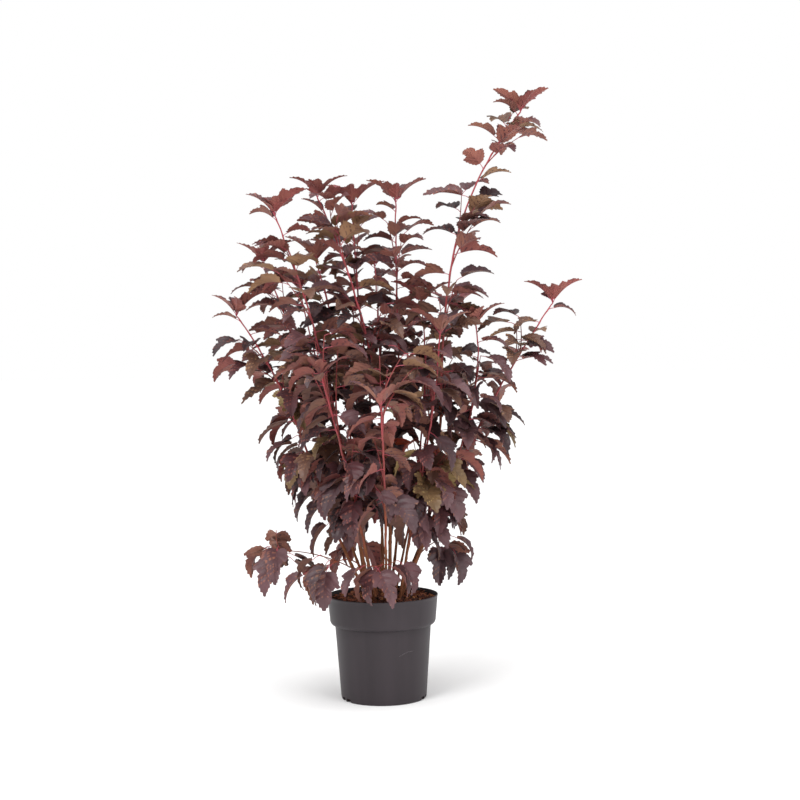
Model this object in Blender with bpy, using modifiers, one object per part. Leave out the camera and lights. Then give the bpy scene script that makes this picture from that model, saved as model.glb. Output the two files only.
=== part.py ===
"""A dark-leaved ninebark grown as a bushy shrub of many canes in a round nursery pot.

Metres, +Z up. The origin is the middle of the pot's flat underside, -Y is the front.
The pot is a turned shell, the soil fills it, the canes rise from the soil's flat top and
end where they enter the leaves, and the crown is a set of closed, uneven solids: rounded
masses in the dense heart of the bush and slimmer ones along each shoot that stands clear.
"""

import math
import random

import bmesh
import bpy
import numpy as np
from mathutils import Vector
from mathutils.bvhtree import BVHTree

# ---------------------------------------------------------------- driving dimensions
POT_HEIGHT = 0.196
RIM_R = 0.1050  # outer radius at the rim
COLLAR_R = 0.1005  # outer radius at the foot of the collar
COLLAR_FOOT_Z = 0.1500  # where the collar starts to turn in
BODY_TOP_R = 0.0910  # body radius just under the collar
BODY_TOP_Z = 0.1395
BASE_R = 0.0808
WALL = 0.0016
BASE_THICK = 0.0022
POT_STEPS = 48

NOTCH_AT_DEG = (-61.0, 72.0, 186.0)  # drainage notches, from the front towards +X
NOTCH_PAIR_DEG = 12.5
NOTCH_WIDE = 0.0135
NOTCH_HIGH = 0.0068

SOIL_TOP_Z = 0.1860
GAP = 0.0004  # left between pieces that touch

CANE_SIDES = 1  # bevel resolution: six sides
CANE_TOP_R = 0.0012
CANE_POINTS = 7
FOOT_HIGH = 0.0030
FOOT_FLARE = 1.25  # the foot is this much wider than the cane
MASS_GAP = 0.0045  # left between neighbouring masses
MASS_AROUND = 10
MASS_ALONG = 9

# Each cane: foot x, y on the soil; top x, y, z; lean in degrees at the foot and at the top,
# each towards +X and towards +Y; radius at the foot.
CANES = {
    "tall_right": ((0.030, 0.000), (0.272, -0.020, 1.100), (28.6, -2.0), (39.4, 0.0), 0.0036),
    "right_arm": ((0.034, 0.011), (0.333, 0.030, 0.744), (23.9, 3.0), (35.5, 0.0), 0.0031),
    "right_middle": ((0.031, 0.026), (0.183, -0.020, 0.702), (22.0, 3.0), (-7.9, -9.0), 0.0026),
    "centre": ((0.013, 0.031), (0.036, 0.030, 0.939), (10.2, 4.0), (1.6, -2.0), 0.0029),
    "left_centre": ((0.012, -0.020), (-0.110, -0.030, 0.944), (3.2, -4.0), (-24.5, 0.0), 0.0038),
    "centre_behind": ((0.002, 0.019), (-0.048, 0.070, 0.938), (1.1, 4.0), (-0.9, 2.0), 0.0027),
    "left_long": ((-0.021, -0.030), (-0.188, -0.060, 0.909), (-10.0, -6.0), (-22.0, 0.0), 0.0035),
    "left_middle": ((-0.012, 0.001), (-0.118, 0.030, 0.829), (-12.9, 1.0), (-17.4, 4.0), 0.0027),
    "far_left": ((-0.023, -0.011), (-0.268, 0.000, 0.727), (-30.1, 2.0), (-36.5, 0.0), 0.0033),
    "left_upper": ((-0.022, 0.020), (-0.221, 0.060, 0.828), (-22.1, 6.0), (-24.7, 4.0), 0.0028),
    "inner_left": ((-0.007, 0.032), (-0.050, 0.080, 0.728), (-22.4, 8.0), (-6.5, 4.0), 0.0024),
    "front_right": ((0.032, -0.020), (0.115, -0.110, 0.716), (9.0, -9.0), (2.4, -8.0), 0.0028),
    "inner_right": ((0.022, 0.010), (0.082, 0.010, 0.743), (12.1, 3.0), (-6.2, 0.0), 0.0024),
    "back_left": ((-0.031, 0.036), (-0.160, 0.190, 0.780), (-6.0, 16.0), (-12.0, 10.0), 0.0028),
    "back_centre": ((-0.002, 0.046), (-0.010, 0.225, 0.850), (1.0, 19.0), (-4.0, 8.0), 0.0030),
    "back_right": ((0.034, 0.038), (0.150, 0.200, 0.735), (10.0, 20.0), (16.0, 14.0), 0.0028),
    "front_left": ((-0.016, -0.043), (-0.120, -0.185, 0.690), (-6.0, -17.0), (-14.0, -12.0), 0.0028),
    "front_centre": ((0.006, -0.047), (0.000, -0.215, 0.650), (2.0, -22.0), (-3.0, -10.0), 0.0026),
}

# Each twig leaves a cane low down and runs out almost level to a mass:
# cane, height on it, tip, how far the middle is lifted, radius.
TWIGS = {
    "far_left": ("far_left", 0.246, (-0.178, -0.050, 0.287), 0.008, 0.0011),
    "low_left": ("left_long", 0.246, (-0.078, -0.092, 0.272), 0.010, 0.0012),
    "low_front": ("left_centre", 0.252, (0.002, -0.094, 0.268), 0.012, 0.0013),
    "low_right": ("right_middle", 0.250, (0.096, 0.036, 0.286), 0.004, 0.0013),
    "low_back": ("inner_left", 0.250, (-0.040, 0.104, 0.290), 0.010, 0.0012),
}

# Masses that wrap a stretch of one cane: cane, from and to (as shares of its height),
# radius at the lower end, the middle and the upper end, how far the tip whorl stands past the top.
SHOOT_MASSES = {
    "tall_lower": ("tall_right", 0.560, 0.700, (0.070, 0.068, 0.058), 0.0),
    "tall_middle": ("tall_right", 0.730, 0.860, (0.050, 0.062, 0.050), 0.0),
    "tall_top": ("tall_right", 0.890, 0.990, (0.046, 0.056, 0.042), 0.020),
    "arm_lower": ("right_arm", 0.480, 0.700, (0.044, 0.055, 0.050), 0.0),
    "arm_top": ("right_arm", 0.790, 0.985, (0.046, 0.056, 0.050), 0.006),
    "right_middle": ("right_middle", 0.580, 0.960, (0.052, 0.058, 0.044), 0.012),
    "centre_top": ("centre", 0.790, 0.975, (0.056, 0.066, 0.060), 0.006),
    "left_centre_top": ("left_centre", 0.830, 0.975, (0.056, 0.060, 0.056), 0.012),
    "behind_top": ("centre_behind", 0.800, 0.975, (0.054, 0.056, 0.046), 0.006),
    "left_long_top": ("left_long", 0.800, 0.985, (0.054, 0.062, 0.056), 0.000),
    "left_upper_top": ("left_upper", 0.760, 0.985, (0.054, 0.060, 0.054), 0.010),
    "left_middle_top": ("left_middle", 0.860, 0.985, (0.050, 0.054, 0.046), 0.004),
    "far_left_lower": ("far_left", 0.430, 0.680, (0.048, 0.058, 0.052), 0.0),
    "far_left_top": ("far_left", 0.790, 0.985, (0.048, 0.054, 0.050), 0.000),
    "back_left_top": ("back_left", 0.700, 0.975, (0.060, 0.066, 0.050), 0.010),
    "back_centre_top": ("back_centre", 0.720, 0.975, (0.064, 0.066, 0.050), 0.010),
    "back_right_top": ("back_right", 0.660, 0.975, (0.060, 0.068, 0.052), 0.010),
}

# Rounded masses: the two ends of the core, and the radius at the lower end, middle, upper end.
ROUND_MASSES = {
    "heart_left_low": ((-0.080, -0.010, 0.430), (-0.115, -0.010, 0.500), (0.068, 0.082, 0.080)),
    "heart_front_low": ((-0.010, -0.098, 0.425), (-0.015, -0.120, 0.485), (0.066, 0.082, 0.080)),
    "heart_right_low": ((0.085, -0.030, 0.415), (0.115, -0.040, 0.500), (0.062, 0.078, 0.076)),
    "heart_back_low": ((0.000, 0.080, 0.435), (0.000, 0.110, 0.510), (0.080, 0.095, 0.090)),
    "heart_left": ((-0.150, 0.030, 0.610), (-0.150, 0.030, 0.690), (0.070, 0.085, 0.080)),
    "heart_front_left": ((-0.090, -0.130, 0.600), (-0.105, -0.135, 0.680), (0.072, 0.082, 0.074)),
    "heart_front_right": ((0.035, -0.145, 0.600), (0.045, -0.130, 0.690), (0.074, 0.084, 0.072)),
    "heart_right": ((0.110, 0.010, 0.600), (0.105, 0.010, 0.690), (0.064, 0.076, 0.070)),
    "heart_back": ((0.030, 0.130, 0.620), (0.020, 0.130, 0.690), (0.080, 0.092, 0.082)),
    "heart_middle": ((-0.030, -0.020, 0.660), (-0.030, -0.010, 0.760), (0.076, 0.084, 0.070)),
    "heart_back_left": ((-0.090, 0.120, 0.570), (-0.095, 0.130, 0.640), (0.072, 0.080, 0.070)),
    "low_far_left": ((-0.214, -0.050, 0.228), (-0.206, -0.050, 0.292), (0.034, 0.040, 0.030)),
    "low_left": ((-0.098, -0.112, 0.252), (-0.118, -0.104, 0.300), (0.036, 0.040, 0.034)),
    "low_front": ((-0.030, -0.138, 0.232), (0.030, -0.120, 0.300), (0.032, 0.038, 0.036)),
    "low_right": ((0.130, 0.030, 0.262), (0.124, 0.020, 0.318), (0.030, 0.038, 0.034)),
    "low_back": ((-0.050, 0.128, 0.262), (-0.040, 0.130, 0.318), (0.036, 0.042, 0.036)),
}

PLANT = "potted_ninebark"


# ---------------------------------------------------------------- scene helpers
def clear_scene():
    for ob in list(bpy.data.objects):
        bpy.data.objects.remove(ob, do_unlink=True)


def collection(name):
    made = bpy.data.collections.new(name)
    bpy.context.scene.collection.children.link(made)
    return made


def material(name, colour, roughness, metallic=0.0):
    made = bpy.data.materials.new(name)
    made.use_nodes = True
    shader = made.node_tree.nodes["Principled BSDF"]
    shader.inputs["Base Color"].default_value = (*colour, 1.0)
    shader.inputs["Roughness"].default_value = roughness
    shader.inputs["Metallic"].default_value = metallic
    return made


def smooth(mesh, angle=40.0):
    mesh.shade_smooth()
    mesh.set_sharp_from_angle(angle=math.radians(angle))


# ---------------------------------------------------------------- turned pieces
def turned(name, profile, steps, into, look):
    """A solid of revolution about Z from (radius, height) points, down the outer side first."""
    mesh = bpy.data.meshes.new(name)
    points = [(r, 0.0, z) for r, z in profile]
    closed = profile[0][0] > 1e-6
    edges = [(i, i + 1) for i in range(len(points) - 1)]
    if closed and profile[-1][0] > 1e-6:
        edges.append((len(points) - 1, 0))
    mesh.from_pydata(points, edges, [])
    ob = bpy.data.objects.new(name, mesh)
    into.objects.link(ob)
    screw = ob.modifiers.new("Turn", "SCREW")
    screw.axis = "Z"
    screw.angle = math.tau
    screw.steps = screw.render_steps = steps
    screw.use_merge_vertices = True
    screw.merge_threshold = 1e-5
    screw.use_smooth_shade = True
    ob.data.materials.append(look)
    return ob


def body_radius(z):
    """Outer radius of the pot's tapered body."""
    return BASE_R + (BODY_TOP_R - BASE_R) * z / BODY_TOP_Z


def pot_profile():
    """Closed loop: rim, collar, rounded shoulder, lip, body, foot, underside, and back up inside."""
    shoulder_in, shoulder_down = 0.0072, COLLAR_FOOT_Z - BODY_TOP_Z - 0.0008
    outer = [(RIM_R - 0.0006, POT_HEIGHT), (RIM_R, POT_HEIGHT - 0.0009), (RIM_R - 0.0003, POT_HEIGHT - 0.0038)]
    for k in range(5):
        a = math.radians(90.0 * k / 4)
        outer.append(
            (
                COLLAR_R - shoulder_in * (1 - math.cos(a)),
                COLLAR_FOOT_Z - shoulder_down * math.sin(a),
            )
        )
    outer.append((BODY_TOP_R, BODY_TOP_Z + 0.0006))
    outer.append((body_radius(BODY_TOP_Z - 0.0015), BODY_TOP_Z - 0.0015))
    outer.append((body_radius(0.0030), 0.0030))
    outer.append((BASE_R - 0.0018, 0.0))
    outer.append((0.0, 0.0))
    inner = [(0.0, BASE_THICK), (BASE_R - WALL - 0.0012, BASE_THICK)]
    inner.append((body_radius(BODY_TOP_Z) - WALL, BODY_TOP_Z + 0.0022))
    inner.append((COLLAR_R - WALL - 0.0016, COLLAR_FOOT_Z + 0.0012))
    inner.append((RIM_R - WALL - 0.0002, POT_HEIGHT - 0.0012))
    inner.append((RIM_R - 0.0014, POT_HEIGHT))
    return outer, inner


def make_pot(into, helpers, look):
    outer, inner = pot_profile()
    pot = turned("pot", outer + inner, POT_STEPS, into, look)
    # close the loop over the rim, from the last inner point to the first outer one
    mesh = pot.data
    bm = bmesh.new()
    bm.from_mesh(mesh)
    bm.verts.ensure_lookup_table()
    wanted = {len(outer) - 1, len(outer)}  # the two points on the axis are not joined to each other
    for edge in list(bm.edges):
        if {v.index for v in edge.verts} == wanted:
            bm.edges.remove(edge)
    if not any({v.index for v in e.verts} == {0, len(bm.verts) - 1} for e in bm.edges):
        bm.edges.new((bm.verts[len(bm.verts) - 1], bm.verts[0]))
    bm.to_mesh(mesh)
    bm.free()
    for k, middle in enumerate(NOTCH_AT_DEG):
        for side in (-1, 1):
            cutter = notch_cutter(f"notch_{k}_{'a' if side < 0 else 'b'}", middle + side * NOTCH_PAIR_DEG / 2, helpers)
            cut = pot.modifiers.new("Notch", "BOOLEAN")
            cut.operation = "DIFFERENCE"
            cut.object = cutter
    return pot


def notch_cutter(name, degrees, into):
    """A block across the pot's bottom corner, at this angle from the front."""
    mesh = bpy.data.meshes.new(name)
    bm = bmesh.new()
    bmesh.ops.create_cube(bm, size=1.0)
    for v in bm.verts:
        v.co.x *= NOTCH_WIDE * (0.86 if v.co.z > 0 else 1.0)
        v.co.y *= 0.016
        v.co.z *= 2 * NOTCH_HIGH
    bm.to_mesh(mesh)
    bm.free()
    ob = bpy.data.objects.new(name, mesh)
    a = math.radians(degrees)
    ob.location = (BASE_R * math.sin(a), -BASE_R * math.cos(a), 0.0)
    ob.rotation_euler = (0.0, 0.0, a)
    ob.hide_render = True
    ob.display_type = "WIRE"
    into.objects.link(ob)
    return ob


def make_soil(into, look):
    """The root ball: it fills the pot with a small gap and has a flat top."""
    top_wall = RIM_R - WALL - 0.0002
    foot_wall = COLLAR_R - WALL - 0.0016
    share = (SOIL_TOP_Z - COLLAR_FOOT_Z - 0.0012) / (POT_HEIGHT - COLLAR_FOOT_Z - 0.0024)
    top_r = foot_wall + (top_wall - foot_wall) * share - GAP - 0.0004
    profile = [
        (0.0, SOIL_TOP_Z),
        (top_r, SOIL_TOP_Z),
        (foot_wall - GAP - 0.0004, COLLAR_FOOT_Z + 0.0020),
        (body_radius(BODY_TOP_Z) - WALL - GAP - 0.0004, BODY_TOP_Z + 0.0026),
        (BASE_R - WALL - 0.0012 - GAP - 0.0004, BASE_THICK + GAP + 0.0004),
        (0.0, BASE_THICK + GAP + 0.0004),
    ]
    return turned("soil", profile, POT_STEPS, into, look)


# ---------------------------------------------------------------- canes
def cane_point(cane, h):
    """Middle of a cane at the share h of its height: a Hermite curve between its two leans."""
    (fx, fy), (tx, ty, tz), lean0, lean1, _ = CANES[cane]
    rise = tz - SOIL_TOP_Z
    a, b = 2 * h**3 - 3 * h**2 + 1, h**3 - 2 * h**2 + h
    c, d = -2 * h**3 + 3 * h**2, h**3 - h**2
    ends = []
    for start, stop, at_foot, at_top in ((fx, tx, lean0[0], lean1[0]), (fy, ty, lean0[1], lean1[1])):
        ends.append(
            a * start
            + b * math.tan(math.radians(at_foot)) * rise
            + c * stop
            + d * math.tan(math.radians(at_top)) * rise
        )
    return Vector((ends[0], ends[1], SOIL_TOP_Z + h * rise))


def cane_radius(cane, h):
    foot = CANES[cane][4]
    return foot + (CANE_TOP_R - foot) * max(0.0, h) ** 0.9


def twig_point(twig, t):
    cane, z, tip, lift, _ = TWIGS[twig]
    top = CANES[cane][1][2]
    start = cane_point(cane, (z - SOIL_TOP_Z) / (top - SOIL_TOP_Z))
    return start.lerp(Vector(tip), t) + Vector((0, 0, 4 * lift * t * (1 - t)))


def limb(name, points, radii, into, look):
    """A tapering round limb through these points, cut flat at both ends."""
    data = bpy.data.curves.new(name, "CURVE")
    data.dimensions = "3D"
    data.bevel_depth = 1.0
    data.bevel_resolution = CANE_SIDES
    data.use_fill_caps = True
    data.twist_mode = "MINIMUM"
    spline = data.splines.new("POLY")
    spline.points.add(len(points) - 1)
    for p, co, r in zip(spline.points, points, radii):
        p.co = (*co, 1.0)
        p.radius = r
    ob = bpy.data.objects.new(name, data)
    ob.data.materials.append(look)
    into.objects.link(ob)
    return ob


def free_end(point_at, radius_at, walls, start, step, gap=0.0008):
    """The furthest parameter at which a flat-ended limb still stands clear of every mass."""
    t = start
    while t + step <= 1.0:
        p, ahead = point_at(t + step), point_at(t + step + 1e-3)
        along = (ahead - p).normalized()
        across = along.orthogonal().normalized()
        other = along.cross(across)
        r = radius_at(t + step) + gap
        ring = [p] + [
            p + r * (math.cos(a) * across + math.sin(a) * other)
            for a in (math.tau * k / 8 for k in range(8))
        ]
        if any(near_or_inside(q, walls, gap) for q in ring):
            return t
        t += step
    return 1.0


def near_or_inside(p, walls, gap):
    for tree, low, high in walls:
        if any(p[i] < low[i] - gap or p[i] > high[i] + gap for i in range(3)):
            continue
        place, normal, _, distance = tree.find_nearest(p)
        if distance < gap or (p - place).dot(normal) < 0:
            return True
    return False


# ---------------------------------------------------------------- masses of leaves
def spine_of(name):
    """(points, radii) along the core of a mass."""
    if name in SHOOT_MASSES:
        cane, h0, h1, radii, past = SHOOT_MASSES[name]
        points = [cane_point(cane, h0 + (h1 - h0) * k / 5) for k in range(6)]
        along = (points[-1] - points[-2]).normalized()
        points[-1] = points[-1] + along * past
    else:
        low, high, radii = ROUND_MASSES[name]
        points = [Vector(low).lerp(Vector(high), k / 5) for k in range(6)]
    lower, middle, upper = radii
    spread = []
    for k in range(6):
        s = k / 5
        spread.append(lower * (1 - s) * (1 - 2 * s) + 4 * middle * s * (1 - s) + upper * s * (2 * s - 1))
    return np.array([p[:] for p in points]), np.array(spread)


def apart(points, spine):
    """Distance from each point to a polyline."""
    best = np.full(len(points), 1e9)
    for a, b in zip(spine[:-1], spine[1:]):
        along = b - a
        t = np.clip(((points - a) @ along) / (along @ along), 0, 1)
        best = np.minimum(best, np.linalg.norm(points - a - t[:, None] * along, axis=1))
    return best


def waves(rng, count=7):
    """A smooth unevenness over directions, about -1 to 1."""
    terms = []
    for k in range(count):
        axis = Vector((rng.gauss(0, 1), rng.gauss(0, 1), rng.gauss(0, 1))).normalized()
        terms.append((np.array(axis[:]), 1.6 + 0.9 * k, rng.uniform(0, math.tau), 1.0 / (1 + 0.45 * k)))
    total = sum(t[3] for t in terms)
    return lambda d: sum(w * np.sin(f * (d @ a) + ph) for a, f, ph, w in terms) / total * 1.9


def mass_mesh(name, spines, fenced, seed):
    """An uneven closed solid round its spine. Where it would meet a neighbour it stops
    half-way between the two, each measured against its own radius, with a gap."""
    spine, spread = spines[name]
    rng = random.Random(seed)
    bumps = waves(rng)
    bm = bmesh.new()
    bmesh.ops.create_uvsphere(bm, u_segments=MASS_AROUND, v_segments=MASS_ALONG, radius=1.0)
    dirs = np.array([v.co[:] for v in bm.verts])
    u = dirs[:, 2]
    s = 0.5 + 0.5 * np.clip(u / 0.86, -1, 1)
    tilt = np.sign(u) * (math.pi / 2) * np.abs(u) ** 3.5
    place = s * (len(spine) - 1)
    k = np.clip(place.astype(int), 0, len(spine) - 2)
    f = (place - k)[:, None]
    origin = spine[k] * (1 - f) + spine[k + 1] * f
    radius = spread[k] * (1 - f[:, 0]) + spread[k + 1] * f[:, 0]
    along = spine[-1] - spine[0]
    along = along / np.linalg.norm(along)
    side = np.array([1.0, 0, 0]) - along * along[0]
    side /= np.linalg.norm(side)
    back = np.cross(along, side)
    turn = np.arctan2(dirs[:, 1], dirs[:, 0])
    out = np.cos(turn)[:, None] * side + np.sin(turn)[:, None] * back
    ray = np.cos(tilt)[:, None] * out + np.sin(tilt)[:, None] * along
    reach = radius * (1 + 0.16 * bumps(dirs))
    # walk outwards along each ray
    steps = np.linspace(0.0, 1.0, 41)[1:]
    limit = np.full(len(dirs), 1.0)
    mean = spread.mean()
    open_ = np.ones(len(dirs), bool)
    for step in steps:
        p = origin + ray * (reach * step)[:, None]
        own = apart(p, spine) / mean
        stop = np.zeros(len(dirs), bool)
        for other, (core, other_spread) in spines.items():
            if other == name:
                continue
            there = other_spread.mean()
            stop |= apart(p, core) / there - own < MASS_GAP * (0.5 / mean + 0.5 / there)
        for core, width in fenced:
            stop |= apart(p, core) < width
        flat = np.hypot(p[:, 0], p[:, 1])
        stop |= (flat < RIM_R + 0.004) & (p[:, 2] < POT_HEIGHT + 0.004)
        stop |= p[:, 2] < 0.165
        limit = np.where(open_ & stop, step - steps[0], limit)
        open_ &= ~stop
    moved = origin + ray * (reach * np.maximum(limit, 0.02))[:, None]
    for v, co in zip(bm.verts, moved):
        v.co = co
    bmesh.ops.recalc_face_normals(bm, faces=bm.faces)
    mesh = bpy.data.meshes.new("foliage_" + name)
    bm.to_mesh(mesh)
    bm.free()
    return mesh


# ---------------------------------------------------------------- the plant
def main():
    clear_scene()
    parts = collection(PLANT)
    helpers = collection("cutters")

    make_pot(parts, helpers, material("pot_plastic", (0.050, 0.044, 0.050), 0.42))
    make_soil(parts, material("bark_mulch", (0.085, 0.032, 0.018), 0.95))

    # crown first, because the canes end at it
    spines = {name: spine_of(name) for name in (*SHOOT_MASSES, *ROUND_MASSES)}
    cane_cores = {
        cane: np.array([cane_point(cane, k / 40)[:] for k in range(41)]) for cane in CANES
    }
    walls = []
    for seed, name in enumerate(spines):
        fenced = []
        if name.startswith("low_"):
            fenced = [(core, CANES[c][4] + 0.0030) for c, core in cane_cores.items()]
        mesh = mass_mesh(name, spines, fenced, 100 + seed)
        ob = bpy.data.objects.new("foliage_" + name, mesh)
        parts.objects.link(ob)
        shade = 0.8 + 0.4 * ((seed * 7) % 10) / 10
        mesh.materials.append(
            material("leaves_" + name, (0.105 * shade, 0.030 * shade, 0.034 * shade), 0.55)
        )
        bm = bmesh.new()
        bm.from_mesh(mesh)
        bmesh.ops.triangulate(bm, faces=bm.faces)
        bm.to_mesh(mesh)
        walls.append((BVHTree.FromBMesh(bm), *bounds(mesh)))
        bm.free()
        smooth(mesh, 60.0)

    for cane in CANES:
        end = free_end(
            lambda h, c=cane: cane_point(c, h),
            lambda h, c=cane: cane_radius(c, h),
            walls,
            0.02,
            0.002,
        )
        # a short upright foot, cut flat at the soil, and then the leaning cane
        first = 0.010 / (CANES[cane][1][2] - SOIL_TOP_Z)
        shares = [first + (end - first) * k / (CANE_POINTS - 1) for k in range(CANE_POINTS)]
        foot = cane_point(cane, 0.0)
        points = [foot + Vector((0, 0, GAP)), foot + Vector((0, 0, FOOT_HIGH))]
        radii = [cane_radius(cane, 0.0) * FOOT_FLARE, cane_radius(cane, 0.0) * 1.08]
        points += [cane_point(cane, h) for h in shares]
        radii += [cane_radius(cane, h) for h in shares]
        shade = 0.9 if cane in ("tall_right", "left_centre", "left_long", "right_arm") else 0.6
        look = material("bark_" + cane, (0.20 * shade, 0.070 * shade, 0.040 * shade), 0.6)
        limb("cane_" + cane, points, radii, parts, look)

    for twig, (cane, _, _, _, radius) in TWIGS.items():
        core = cane_cores[cane]
        clear = CANES[cane][4] + radius + GAP

        def off_cane(t, core=core, twig=twig):
            return apart(np.array([twig_point(twig, t)[:]]), core)[0]

        begin = next(k / 200 for k in range(1, 200) if off_cane(k / 200) > clear)
        end = free_end(
            lambda t, w=twig: twig_point(w, t), lambda t, r=radius: r, walls, begin, 0.004
        )
        shares = [begin + (end - begin) * k / 6 for k in range(7)]
        limb(
            "twig_" + twig,
            [twig_point(twig, t) for t in shares],
            [radius * (1.1 - 0.3 * t) for t in shares],
            parts,
            material("bark_twig_" + twig, (0.14, 0.045, 0.045), 0.6),
        )


def bounds(mesh):
    co = np.array([v.co[:] for v in mesh.vertices])
    return co.min(axis=0), co.max(axis=0)


main()
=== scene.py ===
"""The looks of a dark-leaved ninebark in a nursery pot.

Every cane is a knobbly tube that rises from the soil and runs on through the crown.
Twigs leave the canes and grow into each mass of leaves by a seeded rule, and every leaf
is a closed three-lobed blade with teeth, pleats, a fold along its midrib and raised veins.
"""

import math
import random

import bmesh
import bpy
import numpy as np
from mathutils import Matrix, Vector


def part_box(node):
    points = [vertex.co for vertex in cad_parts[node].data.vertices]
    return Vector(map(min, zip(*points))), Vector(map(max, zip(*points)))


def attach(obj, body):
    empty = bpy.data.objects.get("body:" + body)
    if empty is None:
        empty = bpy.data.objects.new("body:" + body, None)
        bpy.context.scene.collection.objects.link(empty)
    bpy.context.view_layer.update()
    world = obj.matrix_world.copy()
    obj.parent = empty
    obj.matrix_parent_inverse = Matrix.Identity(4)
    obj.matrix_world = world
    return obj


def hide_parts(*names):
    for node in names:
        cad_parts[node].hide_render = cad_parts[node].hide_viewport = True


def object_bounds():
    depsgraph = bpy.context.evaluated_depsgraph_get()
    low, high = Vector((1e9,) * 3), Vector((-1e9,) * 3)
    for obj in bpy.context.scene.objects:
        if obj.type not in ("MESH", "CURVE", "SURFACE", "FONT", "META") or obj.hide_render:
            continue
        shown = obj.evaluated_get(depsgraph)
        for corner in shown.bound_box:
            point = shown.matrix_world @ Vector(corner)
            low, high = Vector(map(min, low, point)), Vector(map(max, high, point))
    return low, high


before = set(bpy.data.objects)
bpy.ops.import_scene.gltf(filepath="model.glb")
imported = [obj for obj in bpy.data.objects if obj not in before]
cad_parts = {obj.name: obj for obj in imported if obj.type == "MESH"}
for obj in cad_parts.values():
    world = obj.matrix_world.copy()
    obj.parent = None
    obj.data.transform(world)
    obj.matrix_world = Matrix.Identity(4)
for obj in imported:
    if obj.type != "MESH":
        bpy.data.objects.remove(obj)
CAD_BOX = [list(map(float, corner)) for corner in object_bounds()]
NODES = sorted(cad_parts)

# ---------------------------------------------------------------- sizes, in metres
POT_HEIGHT = 0.196
RIM_R = 0.1050
COLLAR_R = 0.1005
COLLAR_FOOT_Z = 0.1500
BODY_TOP_R = 0.0910
BODY_TOP_Z = 0.1395
BASE_R = 0.0808
WALL = 0.0016
BASE_THICK = 0.0022
NOTCH_AT_DEG = (-61.0, 72.0, 186.0)
NOTCH_PAIR_DEG = 12.5
NOTCH_WIDE = 0.0135
NOTCH_HIGH = 0.0068
SOIL_TOP_Z = 0.1860
CANE_TOP_R = 0.0012
INTERNODE = 0.0365

# foot x, y; top x, y, z; lean at the foot and at the top towards +X and +Y; foot radius
CANES = {
    "tall_right": ((0.030, 0.000), (0.272, -0.020, 1.100), (28.6, -2.0), (39.4, 0.0), 0.0036),
    "right_arm": ((0.034, 0.011), (0.333, 0.030, 0.744), (23.9, 3.0), (35.5, 0.0), 0.0031),
    "right_middle": ((0.031, 0.026), (0.183, -0.020, 0.702), (22.0, 3.0), (-7.9, -9.0), 0.0026),
    "centre": ((0.013, 0.031), (0.036, 0.030, 0.939), (10.2, 4.0), (1.6, -2.0), 0.0029),
    "left_centre": ((0.012, -0.020), (-0.110, -0.030, 0.944), (3.2, -4.0), (-24.5, 0.0), 0.0038),
    "centre_behind": ((0.002, 0.019), (-0.048, 0.070, 0.938), (1.1, 4.0), (-0.9, 2.0), 0.0027),
    "left_long": ((-0.021, -0.030), (-0.188, -0.060, 0.909), (-10.0, -6.0), (-22.0, 0.0), 0.0035),
    "left_middle": ((-0.012, 0.001), (-0.118, 0.030, 0.829), (-12.9, 1.0), (-17.4, 4.0), 0.0027),
    "far_left": ((-0.023, -0.011), (-0.268, 0.000, 0.727), (-30.1, 2.0), (-36.5, 0.0), 0.0033),
    "left_upper": ((-0.022, 0.020), (-0.221, 0.060, 0.828), (-22.1, 6.0), (-24.7, 4.0), 0.0028),
    "inner_left": ((-0.007, 0.032), (-0.050, 0.080, 0.728), (-22.4, 8.0), (-6.5, 4.0), 0.0024),
    "front_right": ((0.032, -0.020), (0.115, -0.110, 0.716), (9.0, -9.0), (2.4, -8.0), 0.0028),
    "inner_right": ((0.022, 0.010), (0.082, 0.010, 0.743), (12.1, 3.0), (-6.2, 0.0), 0.0024),
    "back_left": ((-0.031, 0.036), (-0.160, 0.190, 0.780), (-6.0, 16.0), (-12.0, 10.0), 0.0028),
    "back_centre": ((-0.002, 0.046), (-0.010, 0.225, 0.850), (1.0, 19.0), (-4.0, 8.0), 0.0030),
    "back_right": ((0.034, 0.038), (0.150, 0.200, 0.735), (10.0, 20.0), (16.0, 14.0), 0.0028),
    "front_left": ((-0.016, -0.043), (-0.120, -0.185, 0.690), (-6.0, -17.0), (-14.0, -12.0), 0.0028),
    "front_centre": ((0.006, -0.047), (0.000, -0.215, 0.650), (2.0, -22.0), (-3.0, -10.0), 0.0026),
}
TWIGS = {
    "far_left": ("far_left", 0.246, (-0.178, -0.050, 0.287), 0.008, 0.0011),
    "low_left": ("left_long", 0.246, (-0.078, -0.092, 0.272), 0.010, 0.0012),
    "low_front": ("left_centre", 0.252, (0.002, -0.094, 0.268), 0.012, 0.0013),
    "low_right": ("right_middle", 0.250, (0.096, 0.036, 0.286), 0.004, 0.0013),
    "low_back": ("inner_left", 0.250, (-0.040, 0.104, 0.290), 0.010, 0.0012),
}
# height above which a cane carries leaves of its own
LEAVES_FROM = {
    "tall_right": 0.40, "right_arm": 0.42, "far_left": 0.36, "left_centre": 0.44,
    "left_long": 0.38, "centre": 0.42, "right_middle": 0.33, "front_right": 0.31,
    "front_left": 0.33, "front_centre": 0.36, "back_right": 0.33, "back_left": 0.32,
}

# ---------------------------------------------------------------- materials
def nodes_of(mat):
    return mat.node_tree.nodes, mat.node_tree.links, mat.node_tree.nodes["Principled BSDF"]


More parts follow.
